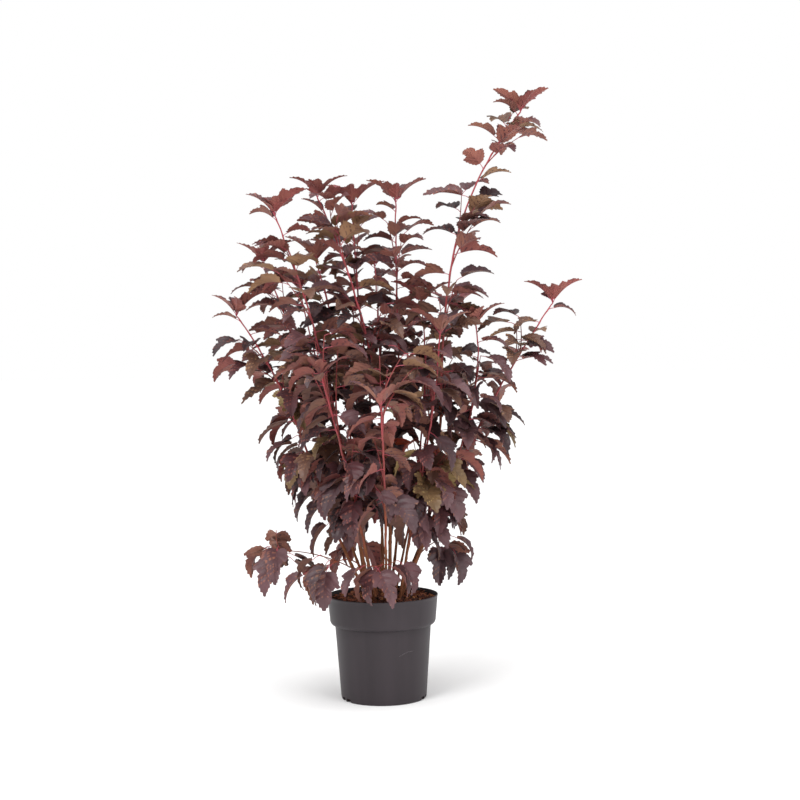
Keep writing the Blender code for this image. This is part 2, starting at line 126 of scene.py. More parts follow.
def plain(name, colour, roughness, spread=0.18, scale=60.0, bump=0.0, bump_scale=300.0, stretch=(1, 1, 1), specular=0.5, sheen=0.0, second=None):
    """A surface whose colour wanders a little over its own coordinates, with fine relief."""
    mat = bpy.data.materials.new(name)
    mat.use_nodes = True
    nodes, links, shader = nodes_of(mat)
    shader.inputs["Roughness"].default_value = roughness
    shader.inputs["Specular IOR Level"].default_value = specular
    if sheen:
        shader.inputs["Sheen Weight"].default_value = sheen
    where = nodes.new("ShaderNodeTexCoord")
    mapping = nodes.new("ShaderNodeMapping")
    mapping.inputs["Scale"].default_value = stretch
    links.new(where.outputs["Object"], mapping.inputs["Vector"])
    noise = nodes.new("ShaderNodeTexNoise")
    noise.inputs["Scale"].default_value = scale
    noise.inputs["Detail"].default_value = 4.0
    links.new(mapping.outputs["Vector"], noise.inputs["Vector"])
    ramp = nodes.new("ShaderNodeValToRGB")
    ramp.color_ramp.elements[0].position = 0.32
    ramp.color_ramp.elements[1].position = 0.68
    low = [c * (1 - spread) for c in colour]
    high = [min(1.0, c * (1 + spread)) for c in (second or colour)]
    ramp.color_ramp.elements[0].color = (*low, 1)
    ramp.color_ramp.elements[1].color = (*high, 1)
    links.new(noise.outputs["Fac"], ramp.inputs["Fac"])
    links.new(ramp.outputs["Color"], shader.inputs["Base Color"])
    if bump:
        fine = nodes.new("ShaderNodeTexNoise")
        fine.inputs["Scale"].default_value = bump_scale
        fine.inputs["Detail"].default_value = 5.0
        links.new(mapping.outputs["Vector"], fine.inputs["Vector"])
        relief = nodes.new("ShaderNodeBump")
        relief.inputs["Strength"].default_value = bump
        relief.inputs["Distance"].default_value = 0.0006
        links.new(fine.outputs["Fac"], relief.inputs["Height"])
        links.new(relief.outputs["Normal"], shader.inputs["Normal"])
    return mat


def srgb(r, g, b):
    out = []
    for c in (r, g, b):
        c /= 255.0
        out.append(c / 12.92 if c <= 0.04045 else ((c + 0.055) / 1.055) ** 2.4)
    return tuple(out)


# each tint: upper side, another upper colour it wanders to, under side, its other colour, vein
TINTS = {
    "plum": (srgb(88, 58, 62), srgb(98, 66, 70), srgb(128, 80, 74), srgb(146, 98, 80), srgb(124, 78, 80)),
    "maroon": (srgb(74, 42, 46), srgb(86, 50, 54), srgb(132, 70, 68), srgb(140, 86, 74), srgb(138, 62, 68)),
    "dusky": (srgb(66, 46, 50), srgb(80, 56, 60), srgb(112, 76, 68), srgb(126, 90, 74), srgb(106, 70, 72)),
    "black": (srgb(46, 28, 32), srgb(58, 36, 40), srgb(98, 56, 54), srgb(112, 68, 62), srgb(96, 52, 56)),
    "rose": (srgb(88, 50, 52), srgb(100, 58, 58), srgb(140, 84, 76), srgb(148, 92, 78), srgb(162, 70, 76)),
    "brown": (srgb(92, 62, 52), srgb(104, 72, 58), srgb(138, 100, 74), srgb(150, 114, 84), srgb(134, 86, 72)),
    "olive": (srgb(102, 78, 52), srgb(116, 90, 60), srgb(146, 120, 78), srgb(158, 132, 88), srgb(140, 104, 74)),
    "red": (srgb(150, 40, 32), srgb(178, 60, 36), srgb(186, 70, 46), srgb(200, 92, 56), srgb(180, 56, 50)),
    "shoot": (srgb(104, 44, 48), srgb(118, 52, 56), srgb(142, 72, 70), srgb(138, 80, 70), srgb(176, 64, 72)),
}


def leaf_materials(tint):
    up, up2, under, under2, vein = TINTS[tint]
    # veins stand out by their relief and only a little by their colour
    vein = tuple(0.62 * a + 0.38 * b for a, b in zip(up2, vein))
    return (
        plain("upper_" + tint, up, 0.46, 0.10, 34, 0.25, 420, second=up2, specular=0.42, sheen=0.05),
        plain("under_" + tint, under, 0.62, 0.10, 30, 0.30, 520, second=under2, specular=0.30, sheen=0.08),
        plain("vein_" + tint, vein, 0.50, 0.10, 80, specular=0.40),
    )


# ---------------------------------------------------------------- growing
def cane_point(cane, h):
    (fx, fy), (tx, ty, tz), lean0, lean1, _ = CANES[cane]
    rise = tz - SOIL_TOP_Z
    a, b = 2 * h**3 - 3 * h**2 + 1, h**3 - 2 * h**2 + h
    c, d = -2 * h**3 + 3 * h**2, h**3 - h**2
    ends = []
    for start, stop, at_foot, at_top in ((fx, tx, lean0[0], lean1[0]), (fy, ty, lean0[1], lean1[1])):
        ends.append(
            a * start
            + b * math.tan(math.radians(at_foot)) * rise
            + c * stop
            + d * math.tan(math.radians(at_top)) * rise
        )
    return Vector((ends[0], ends[1], SOIL_TOP_Z + h * rise))


def cane_radius(cane, h):
    foot = CANES[cane][4]
    return foot + (CANE_TOP_R - foot) * max(0.0, h) ** 0.9


def twig_point(twig, t):
    cane, z, tip, lift, _ = TWIGS[twig]
    top = CANES[cane][1][2]
    start = cane_point(cane, (z - SOIL_TOP_Z) / (top - SOIL_TOP_Z))
    return start.lerp(Vector(tip), t) + Vector((0, 0, 4 * lift * t * (1 - t)))


class Heap:
    """Vertices, faces and a material number for each face, joined as they are made."""

    def __init__(self):
        self.points, self.faces, self.looks, self.count = [], [], [], 0

    def add(self, points, faces, looks):
        self.points.append(np.asarray(points, np.float64))
        self.faces.extend([tuple(i + self.count for i in f) for f in faces])
        self.looks.extend(looks)
        self.count += len(points)

    def build(self, name, materials, sharp=38.0):
        mesh = bpy.data.meshes.new(name)
        mesh.from_pydata(np.concatenate(self.points).tolist(), [], self.faces)
        for mat in materials:
            mesh.materials.append(mat)
        mesh.polygons.foreach_set("material_index", self.looks)
        mesh.shade_smooth()
        mesh.set_sharp_from_angle(angle=math.radians(sharp))
        ob = bpy.data.objects.new(name, mesh)
        bpy.context.scene.collection.objects.link(ob)
        return ob


def tube(heap, path, radii, sides, looks, rough=0.0, rng=None):
    """A closed tube along a path, with a cap at each end."""
    path = [Vector(p) for p in path]
    n = len(path)
    points, faces, marks = [], [], []
    across = None
    for i, p in enumerate(path):
        along = (path[min(i + 1, n - 1)] - path[max(i - 1, 0)]).normalized()
        if across is None:
            across = along.orthogonal().normalized()
        across = (across - along * across.dot(along)).normalized()
        other = along.cross(across)
        for k in range(sides):
            a = math.tau * k / sides
            r = radii[i] * (1 + (rng.uniform(-rough, rough) if rough else 0))
            points.append(p + r * (math.cos(a) * across + math.sin(a) * other))
    for i in range(n - 1):
        for k in range(sides):
            k2 = (k + 1) % sides
            faces.append((i * sides + k, i * sides + k2, (i + 1) * sides + k2, (i + 1) * sides + k))
            marks.append(looks[i] if isinstance(looks, list) else looks)
    faces.append(tuple(reversed(range(sides))))
    faces.append(tuple((n - 1) * sides + k for k in range(sides)))
    marks += [looks[0], looks[-1]] if isinstance(looks, list) else [looks, looks]
    heap.add([p[:] for p in points], faces, marks)


# ---------------------------------------------------------------- one leaf
HALF_KEYS = [
    (0.000, 0.000), (0.080, -0.020), (0.170, 0.004), (0.262, 0.070), (0.340, 0.165), (0.395, 0.275), (0.430, 0.415),
    (0.330, 0.425), (0.250, 0.455), (0.200, 0.505), (0.222, 0.590), (0.196, 0.700), (0.138, 0.810), (0.070, 0.915), (0.000, 1.000),
]
MARGIN = 27
COLUMNS = (0.0, 0.36, 0.72, 1.0)


def half_outline(seed):
    """Margin of half a blade from its base to its tip, with teeth, and where each row meets the midrib."""
    rng = random.Random(seed)
    keys = [(x * rng.uniform(0.94, 1.06), y + rng.uniform(-0.008, 0.008) * (0 < y < 1)) for x, y in HALF_KEYS]
    keys[0], keys[-1] = (0.0, 0.0), (0.0, 1.0)
    keys = np.array(keys)
    lengths = np.concatenate([[0], np.cumsum(np.linalg.norm(np.diff(keys, axis=0), axis=1))])
    at = np.linspace(0, lengths[-1], MARGIN)
    x, y = np.interp(at, lengths, keys[:, 0]), np.interp(at, lengths, keys[:, 1])
    step = np.gradient(np.stack([x, y], 1), axis=0)
    step /= np.linalg.norm(step, axis=1)[:, None]
    out = np.stack([step[:, 1], -step[:, 0]], 1)
    tooth = np.where(np.arange(MARGIN) % 2 == 1, 0.018, -0.012) * rng.uniform(0.85, 1.15)
    tooth[[0, 1, -1]] = 0
    x = np.maximum(x + out[:, 0] * tooth + step[:, 0] * 0.010 * (tooth > 0), 0.006)
    y = y + out[:, 1] * tooth + step[:, 1] * 0.012 * (tooth > 0)
    x[0], y[0], x[-1], y[-1] = 0.0, 0.0, 0.0, 1.0
    meet = np.maximum.accumulate(np.clip(y - 0.80 * x, 0, 1))
    meet = meet + np.linspace(0, 0.06, MARGIN)
    meet = meet / meet[-1]
    return x, y, meet


OUTLINES = [(half_outline(900 + k), half_outline(940 + k)) for k in range(8)]


def blade_faces():
    """Faces of both skins: one grid for each half, joined along the midrib and at the margin."""
    cols = len(COLUMNS)
    mid = list(range(MARGIN))  # midrib points, upper skin

    def number(side, skin, row, col):
        if col == 0:
            return row if skin == 0 or row in (0, MARGIN - 1) else mid_under + row
        if row in (0, MARGIN - 1):
            return row
        if col == cols - 1:
            return edge[side] + row
        return inner[side][skin] + row * (cols - 2) + col - 1

    mid_under = MARGIN
    start = 2 * MARGIN
    edge, inner = [], []
    for side in range(2):
        edge.append(start)
        start += MARGIN
        inner.append([start, start + MARGIN * (cols - 2)])
        start += 2 * MARGIN * (cols - 2)
    faces, looks = [], []
    for side in range(2):
        for skin in range(2):
            for row in range(MARGIN - 1):
                for col in range(cols - 1):
                    f = [
                        number(side, skin, row, col),
                        number(side, skin, row, col + 1),
                        number(side, skin, row + 1, col + 1),
                        number(side, skin, row + 1, col),
                    ]
                    kept = [v for i, v in enumerate(f) if v != f[i - 1]]
                    if len(set(kept)) < 3:
                        continue
                    if (side + skin) % 2 == 1:
                        kept.reverse()
                    faces.append(tuple(kept))
                    looks.append(skin)
    return faces, looks, start, edge, inner


BLADE_FACES, BLADE_LOOKS, BLADE_COUNT, EDGE_AT, INNER_AT = blade_faces()
USED = np.unique(np.concatenate([np.array(f) for f in BLADE_FACES]))
RENUMBER = np.full(BLADE_COUNT, -1)
RENUMBER[USED] = np.arange(len(USED))
BLADE_FACES = [tuple(int(RENUMBER[i]) for i in f) for f in BLADE_FACES]


def leaf(heap, base, along, up, length, rng, wide=1.0, fold=24.0, curl=38.0, twist=0.0, pleat=1.0):
    """One blade from its base, pointing along, with its upper side towards up."""
    along = np.array(along, float)
    along /= np.linalg.norm(along)
    up = np.array(up, float)
    up = up - along * (up @ along)
    up /= max(1e-6, np.linalg.norm(up))
    side_axis = np.cross(along, up)
    halves = OUTLINES[rng.randrange(len(OUTLINES))]
    curl_at = math.radians(curl)
    s = np.linspace(0, 1, 41)
    angle = 0.30 * curl_at - 1.30 * curl_at * s**1.25
    run = np.concatenate([[0], np.cumsum((np.cos(angle[1:]) + np.cos(angle[:-1])) / 2 / 40)])
    rise = np.concatenate([[0], np.cumsum((np.sin(angle[1:]) + np.sin(angle[:-1])) / 2 / 40)])
    bend_side = rng.uniform(-0.10, 0.10)
    wave, wave2 = rng.uniform(0, math.tau), rng.uniform(0, math.tau)
    vein_count = 5.5
    folds = math.radians(fold)
    spin = math.radians(twist)

    def surf(x, y, meet, skin):
        """x across (signed), y forward, meet where its row starts on the midrib, in blade lengths."""
        reach = np.abs(x)
        tilt = folds * (1 - 0.35 * y) + 0.10 * np.sin(wave + 5 * y) * np.sign(x)
        flat = x * np.cos(tilt)
        high = reach * np.sin(tilt) - 0.55 * reach**2
        high = high + pleat * 0.020 * np.sin(math.tau * vein_count * meet) * np.clip(reach / 0.16, 0, 1)
        high = high + 0.016 * np.sin(wave2 + 9 * y) * np.clip(reach / 0.3, 0, 1)
        yy = np.clip(y, 0, 1)
        c_run, c_rise = np.interp(yy, s, run), np.interp(yy, s, rise)
        over = y - yy
        ang = np.interp(yy, s, angle)
        c_run = c_run + over * np.cos(ang)
        turn = spin * yy
        ax, az = flat * np.cos(turn) - high * np.sin(turn), flat * np.sin(turn) + high * np.cos(turn)
        ax = ax * wide + bend_side * yy**2 * 0.5
        az = az + skin
        px = c_run - az * np.sin(ang)
        pz = c_rise + az * np.cos(ang)
        return length * (px[:, None] * along + ax[:, None] * side_axis + pz[:, None] * up)

    thick = 0.00028 / length
    points = np.zeros((BLADE_COUNT, 3))
    cols = len(COLUMNS)
    mean_meet = (halves[0][2] + halves[1][2]) / 2
    zero = np.zeros(MARGIN)
    points[0:MARGIN] = surf(zero, mean_meet, mean_meet, 0.0)
    points[MARGIN : 2 * MARGIN] = surf(zero, mean_meet, mean_meet, -thick)
    for number, (x, y, _) in enumerate(halves):
        sign = 1 if number == 0 else -1
        meet = mean_meet
        points[EDGE_AT[number] : EDGE_AT[number] + MARGIN] = surf(sign * x, y, meet, -thick / 2)
        for skin in range(2):
            block = np.zeros((MARGIN, cols - 2, 3))
            for col in range(1, cols - 1):
                t = COLUMNS[col]
                xx, yy = x * t, meet + (y - meet) * t
                block[:, col - 1] = surf(sign * xx, yy, meet, -thick * skin)
            at = INNER_AT[number][skin]
            points[at : at + MARGIN * (cols - 2)] = block.reshape(-1, 3)
    base = np.array(base, float)
    heap.add(points[USED] + base, BLADE_FACES, BLADE_LOOKS)

    # raised veins: the midrib and four side veins each way, as thin three-sided rods
    def rod(places, radii):
        path = places + base
        count = len(path)
        ahead = np.gradient(path, axis=0)
        ahead /= np.linalg.norm(ahead, axis=1)[:, None]
        a = np.cross(ahead, up)
        a /= np.maximum(1e-9, np.linalg.norm(a, axis=1))[:, None]
        b = np.cross(ahead, a)
        ring = []
        for k in range(3):
            w = math.tau * k / 3 + math.pi / 2
            ring.append(path + radii[:, None] * (math.cos(w) * a + math.sin(w) * b))
        pts = np.stack(ring, 1).reshape(-1, 3)
        fs = []
        for i in range(count - 1):
            for k in range(3):
                k2 = (k + 1) % 3
                fs.append((i * 3 + k, i * 3 + k2, (i + 1) * 3 + k2, (i + 1) * 3 + k))
        fs.append((2, 1, 0))
        fs.append(((count - 1) * 3, (count - 1) * 3 + 1, (count - 1) * 3 + 2))
        heap.add(pts, fs, [2] * len(fs))

    t = mean_meet[:-2:2]
    rod(surf(np.zeros(len(t)), t, t, -thick / 2), (0.00056 - 0.00040 * t) * (length / 0.065))
    for number, (x, y, _) in enumerate(halves):
        sign = 1 if number == 0 else -1
        for row in (5, 10, 14, 18, 21):
            u = np.array(COLUMNS)
            xx, yy = x[row] * u, mean_meet[row] + (y[row] - mean_meet[row]) * u
            line = surf(sign * xx, yy, np.full(len(u), mean_meet[row]), -thick / 2)
            line[-1] = line[-2] * 0.22 + line[-1] * 0.78
            rod(line, np.array([0.00034, 0.00031, 0.00026, 0.00014]) * (length / 0.065))


# ---------------------------------------------------------------- heaps of each kind
leaf_heaps = {tint: Heap() for tint in TINTS}
petioles = Heap()
stems = Heap()
twig_heap = Heap()
leaf_number = 0


def pick_tint(rng, z, outer):
    """Which tint a spray takes, by how high and how far out it stands."""
    if z > 0.80:
        return rng.choices(["maroon", "rose", "plum", "brown", "black"], [3.6, 4, 4, 4, 1.0])[0]
    if z > 0.62:
        return rng.choices(["maroon", "plum", "brown", "dusky", "black", "rose"], [4, 4, 3, 2, 1.6, 1.5])[0]
    if outer < 0.10:
        return rng.choices(["dusky", "black", "maroon", "olive", "red"], [4, 4, 2.8, 0.4, 0.7])[0]
    return rng.choices(["plum", "dusky", "maroon", "black", "olive", "brown"], [5, 4, 3, 2, 0.8, 1.2])[0]


def add_leaf(node, azimuth, rng, size, tint, elevation, droop, lean=None):
    """A petiole and its blade at a node of a stem."""
    global leaf_number
    leaf_number += 1
    # a leaf that would pass the crown's front or back face turns the other way
    ahead = Vector(node).y + 1.15 * size * math.sin(azimuth)
    if ahead < FRONT_Y or ahead > BACK_Y:
        azimuth = -azimuth
    out = Vector((math.cos(azimuth), math.sin(azimuth), 0.0))
    lift = math.radians(elevation)
    start = Vector(node)
    d0 = (out * math.cos(lift + 0.25) + Vector((0, 0, math.sin(lift + 0.25)))).normalized()
    d1 = (out * math.cos(lift) + Vector((0, 0, math.sin(lift)))).normalized()
    stalk = size * rng.uniform(0.20, 0.30)
    middle = start + d0 * stalk * 0.5
    end = middle + d1 * stalk * 0.5
    tube(petioles, [start, middle, end, end + d1 * size * 0.03], [0.00085, 0.00065, 0.00060, 0.0005], 5, 0)
    sag = math.radians(elevation - droop * 0.20)
    along = (out * math.cos(sag) + Vector((0, 0, math.sin(sag)))).normalized()
    roll = math.radians(rng.gauss(0, 14))
    up = Vector((0, 0, 1)) if abs(along.z) < 0.95 else out * -1
    up = (up - along * up.dot(along)).normalized()
    side = along.cross(up)
    up = (up * math.cos(roll) + side * math.sin(roll)).normalized()
    leaf(
        leaf_heaps[tint], end, along[:], up[:], size, rng,
        wide=rng.uniform(0.88, 1.10), fold=rng.uniform(24, 46), curl=droop * rng.uniform(0.8, 1.2),
        twist=rng.gauss(0, 12), pleat=rng.uniform(0.7, 1.3),
    )


def habit(z, rng):
    """Elevation of the petiole and droop of the blade for a leaf at this height."""
    share = min(1.0, max(0.0, (z - 0.30) / 0.55))
    elevation = -40 + 64 * share + rng.gauss(0, 8)
    droop = 58 - 12 * share + rng.gauss(0, 9)
    return elevation, max(12, droop)


def sized(z, near_tip, rng):
    full = 0.073 if z < 0.62 else 0.068
    return full * (1 - 0.30 * near_tip) * rng.uniform(0.86, 1.10)


STEM_LOOKS = 5
FRONT_Y, BACK_Y = CAD_BOX[0][1] - 0.016, CAD_BOX[1][1] + 0.014
ENDS_AT = {"front_left": 0.84, "front_centre": 0.80, "front_right": 0.94, "back_centre": 0.97}


def stem_look(z, top):
    share = (z - SOIL_TOP_Z) / max(0.01, top - SOIL_TOP_Z)
    return int(min(STEM_LOOKS - 1, max(0, share * STEM_LOOKS)))


def grow_cane(number, cane):
    rng = random.Random(5000 + number)
    last_h = ENDS_AT.get(cane, 1.0)
    top = cane_point(cane, last_h).z
    start_z = LEAVES_FROM.get(cane, 0.37)
    # nodes up the cane
    places, h = [], 0.0
    last = cane_point(cane, 0.0)
    while h < last_h:
        h += 0.001
        p = cane_point(cane, h)
        if (p - last).length >= INTERNODE * (1.0 if p.z < top - 0.15 else 0.80):
            places.append(h)
            last = p
    # the cane itself: a slight zigzag with a knob at each node
    path, radii, looks = [], [], []
    steps = 150 if top > 0.9 else 120
    kink = {i: (rng.uniform(0, math.tau), rng.uniform(0.0006, 0.0014)) for i in range(len(places) + 1)}
    for k in range(steps + 1):
        h = last_h * k / steps
        p = cane_point(cane, h)
        index = sum(1 for q in places if q < h)
        before = places[index - 1] if index else 0.0
        after = places[index] if index < len(places) else last_h
        t = (h - before) / max(1e-6, after - before)
        a, amount = kink[index]
        grow_in = min(1.0, max(0.0, (p.z - SOIL_TOP_Z) / 0.05))
        p = p + Vector((math.cos(a), math.sin(a), 0)) * amount * math.sin(math.pi * t) * grow_in
        near = min([abs(q - h) for q in places] or [1.0]) * (top - SOIL_TOP_Z)
        r = cane_radius(cane, h) * (1 + 0.26 * math.exp(-((near / 0.0028) ** 2)))
        if h < 0.006:
            r *= 1.22
        path.append(p)
        radii.append(r)
        looks.append(stem_look(p.z, max(top, 0.72)))
    tube(stems, path, radii, 9, looks, rough=0.045, rng=rng)
    # leaves, alternate round the cane
    phase = rng.uniform(0, math.tau)
    if cane in ("tall_right", "right_arm", "centre", "left_centre", "left_long", "far_left", "left_upper"):
        phase = 0.0
    for k, h in enumerate(places):
        p = cane_point(cane, h)
        if p.z < start_z:
            continue
        left = (top - p.z) / 0.16
        near_tip = 1 - min(1.0, left)
        clear = cane in ("tall_right", "right_arm", "far_left", "left_long", "centre", "left_centre", "left_upper") and p.z > 0.6
        if clear:
            azimuth = (0 if k % 2 else math.pi) + rng.gauss(0, 0.45) + phase
        else:
            azimuth = phase + math.radians(137.5) * k + rng.gauss(0, 0.2)
        elevation, droop = habit(p.z, rng)
        tint = pick_tint(rng, p.z, math.hypot(p.x, p.y))
        add_leaf(p, azimuth, rng, sized(p.z, near_tip, rng), tint, elevation + 12 * near_tip, droop)
    # the whorl at the tip: two spread wings and small upright crimson leaves
    tip = cane_point(cane, last_h)
    bright = ["rose", "maroon", "shoot"] if tip.z > 0.70 and "front" not in cane else ["plum", "maroon"]
    for a, size, lift, droop in ((0.15, 0.060, 48, 36), (math.pi - 0.1, 0.058, 50, 36), (1.9, 0.044, 54, 34), (-1.4, 0.046, 50, 34)):
        add_leaf(tip, a + rng.gauss(0, 0.2), rng, size * rng.uniform(0.92, 1.08), rng.choice(bright), lift, droop)
    add_leaf(tip, rng.uniform(0, math.tau), rng, 0.034, bright[-1], 62, 24)
    add_leaf(tip, rng.uniform(0, math.tau), rng, 0.026, bright[-1], 74, 20)
    return places


def nearest_start(target, below):
    """The cane and height whose point lies nearest under a place in the crown."""
    best = None
    for cane in CANES:
        top = CANES[cane][1][2]
        for k in range(12, 98):
            p = cane_point(cane, k / 100)
            fall = target.z - p.z
            if fall < below * 0.6 or fall > below * 2.6:
                continue
            d = (Vector((p.x, p.y, 0)) - Vector((target.x, target.y, 0))).length
            score = d + 0.3 * abs(fall - below * 1.3)
            if best is None or score < best[0]:
                best = (score, cane, k / 100)
    return best


def grow_twig(start, direction, target, rng, r0, hang=0.0, step=0.030, leaves_from=0.30, look=2, tints=None):
    """A curved side shoot with alternate leaves and one leaf at its tip that points on along it."""
    start, target = Vector(start), Vector(target)
    reach = (target - start).length
    middle = start + direction * reach * 0.45
    path = []
    count = 9
    for k in range(count + 1):
        t = k / count
        p = start * (1 - t) ** 2 + middle * 2 * t * (1 - t) + target * t * t
        path.append(p - Vector((0, 0, hang * t * t)))
    radii = [r0 * (1 - 0.55 * k / count) for k in range(count + 1)]
    tube(twig_heap, path, radii, 6, look)
    total = sum((a - b).length for a, b in zip(path, path[1:]))
    n = max(2, int(total / step))
    phase = rng.uniform(0, math.tau)
    tint = rng.choice(tints) if tints else pick_tint(rng, target.z, math.hypot(target.x, target.y))
    for k in range(n + 1):
        t = leaves_from + (1 - leaves_from) * k / n
        i = min(count - 1, int(t * count))
        p = path[i].lerp(path[i + 1], t * count - i)
        heading = (path[i + 1] - path[i]).normalized()
        azimuth = math.atan2(heading.y, heading.x) + (1 if k % 2 else -1) * rng.uniform(0.7, 1.5)
        if k == n:
            azimuth = math.atan2(heading.y, heading.x) + rng.gauss(0, 0.3)
        elevation, droop = habit(p.z, rng)
        one = tint if tints or rng.random() < 0.7 else pick_tint(rng, p.z, math.hypot(p.x, p.y))
        add_leaf(p, azimuth, rng, sized(p.z, 0.25 * (k == n), rng), one, elevation, droop)
    return path


for number, cane in enumerate(CANES):
    grow_cane(number, cane)

# the masses, filled by side shoots that leave the nearest cane below them
SHOOTS_IN = {"heart": 7, "low": 2, "shoot": 3}
for number, name in enumerate(n for n in NODES if n.startswith("foliage_")):
    rng = random.Random(7000 + number)
    low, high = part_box(name)
    centre, half = (low + high) / 2, (high - low) / 2
    kind = "heart" if "heart" in name else "low" if "_low" in name and "heart" not in name else "shoot"
    if kind == "low" and not name.startswith("foliage_low"):
        kind = "shoot"
    for k in range(SHOOTS_IN[kind]):
        if kind == "low":
            break
        for _ in range(20):
            d = Vector((rng.uniform(-1, 1), rng.uniform(-1, 1), rng.uniform(-1, 1)))
            if 0.25 < d.length < 1.0:
                break
        target = centre + Vector((d.x * half.x, d.y * half.y, d.z * half.z)) * (0.62 if kind == "heart" else 0.48)
        found = nearest_start(target, 0.07)
        if not found:
            continue
        _, cane, h = found
        start = cane_point(cane, h)
        ahead = (cane_point(cane, h + 0.01) - start).normalized()
        reach = (target - start).length
        if reach > 0.26:
            continue
        grow_twig(start, (ahead + (target - start).normalized() * 0.8).normalized(), target, rng, 0.0013 + 0.002 * reach)

# low sprays on their own twigs
LOW_SPRAYS = {
    "far_left": ((-0.196, -0.050, 0.330), (-0.176, -0.052, 0.282), (-0.206, -0.046, 0.300)),
    "low_left": ((-0.110, -0.106, 0.290), (-0.128, -0.110, 0.262)),
    "low_front": ((-0.030, -0.124, 0.272), (0.030, -0.122, 0.280)),
    "low_right": ((0.130, 0.026, 0.306), (0.136, 0.020, 0.280)),
    "low_back": ((-0.044, 0.130, 0.310), (-0.056, 0.136, 0.280)),
}
for number, (twig, ends) in enumerate(LOW_SPRAYS.items()):
    rng = random.Random(8800 + number)
    path = [twig_point(twig, k / 12) for k in range(13)]
    r = TWIGS[twig][4]
    tube(twig_heap, path, [r * (1.1 - 0.3 * k / 12) for k in range(13)], 6, 1)
    for end in ends:
        tip = Vector(end)
        heading = (path[-1] - path[-2]).normalized()
        grow_twig(path[-1], heading, tip, rng, r * 0.8, hang=0.004, step=0.016, leaves_from=0.2, look=1, tints=["plum", "dusky", "plum", "maroon"])

# ---------------------------------------------------------------- build the plant's pieces
def root(ob):
    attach(ob, "root")
    return ob


FOLIAGE = [n for n in NODES if n.startswith("foliage_")]
made_leaves = []
for tint, heap in leaf_heaps.items():
    if heap.count:
        ob = root(heap.build("leaves_" + tint, leaf_materials(tint)))
        made_leaves.append(ob)
for k, ob in enumerate(made_leaves):
    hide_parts(*FOLIAGE[k :: len(made_leaves)])
root(petioles.build("leaf_stalks", [plain("stalk", srgb(168, 70, 84), 0.45, 0.12, 60)]))
BARK = [
    plain("bark_foot", srgb(126, 76, 48), 0.72, 0.28, 90, 0.9, 260, (1, 1, 0.25), 0.3),
    plain("bark_low", srgb(138, 72, 50), 0.66, 0.24, 90, 0.7, 260, (1, 1, 0.25), 0.35),
    plain("bark_middle", srgb(134, 58, 56), 0.56, 0.20, 80, 0.4, 260, (1, 1, 0.3), 0.4),
    plain("bark_upper", srgb(150, 54, 60), 0.48, 0.16, 80, 0.25, 260, (1, 1, 0.3), 0.45),
    plain("bark_tip", srgb(164, 58, 68), 0.42, 0.14, 80, 0.2, 260, (1, 1, 0.3), 0.5),
]
canes_made = root(stems.build("canes", BARK, 60))
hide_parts(*[n for n in NODES if n.startswith("cane_")])
twigs_made = root(twig_heap.build("twigs", BARK, 60))
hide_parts(*[n for n in NODES if n.startswith("twig_")])


# ---------------------------------------------------------------- the pot
def body_radius(z):
    return BASE_R + (BODY_TOP_R - BASE_R) * z / BODY_TOP_Z


def pot_profile():
    shoulder_in, shoulder_down = 0.0072, COLLAR_FOOT_Z - BODY_TOP_Z - 0.0008
    rim = [
        (RIM_R - 0.0010, POT_HEIGHT), (RIM_R - 0.0004, POT_HEIGHT - 0.0002), (RIM_R, POT_HEIGHT - 0.0008),
        (RIM_R, POT_HEIGHT - 0.0022), (RIM_R - 0.0004, POT_HEIGHT - 0.0032), (RIM_R - 0.0009, POT_HEIGHT - 0.0042),
        (RIM_R - 0.0011, POT_HEIGHT - 0.0080),
    ]
    outer = rim[:]
    for k in range(9):
        a = math.radians(90.0 * k / 8)
        outer.append((COLLAR_R - shoulder_in * (1 - math.cos(a)), COLLAR_FOOT_Z - shoulder_down * math.sin(a)))
    outer.append((BODY_TOP_R - 0.0005, BODY_TOP_Z + 0.0004))
    outer.append((BODY_TOP_R - 0.0006, BODY_TOP_Z - 0.0006))
    outer.append((body_radius(BODY_TOP_Z - 0.0030), BODY_TOP_Z - 0.0030))
    for k in range(1, 8):
        z = (BODY_TOP_Z - 0.003) + (0.006 - BODY_TOP_Z + 0.003) * k / 8
        outer.append((body_radius(z) + 0.00012 * math.sin(k * 2.1), z))
    outer += [(body_radius(0.0050), 0.0050), (body_radius(0.0024) - 0.0003, 0.0024), (BASE_R - 0.0008, 0.0008), (BASE_R - 0.0018, 0.0)]
    inner = [(BASE_R - WALL - 0.0012, BASE_THICK), (body_radius(BODY_TOP_Z) - WALL, BODY_TOP_Z + 0.0022),
             (COLLAR_R - WALL - 0.0016, COLLAR_FOOT_Z + 0.0012), (RIM_R - WALL - 0.0002, POT_HEIGHT - 0.0012), (RIM_R - 0.0014, POT_HEIGHT - 0.0001)]
    return outer, inner


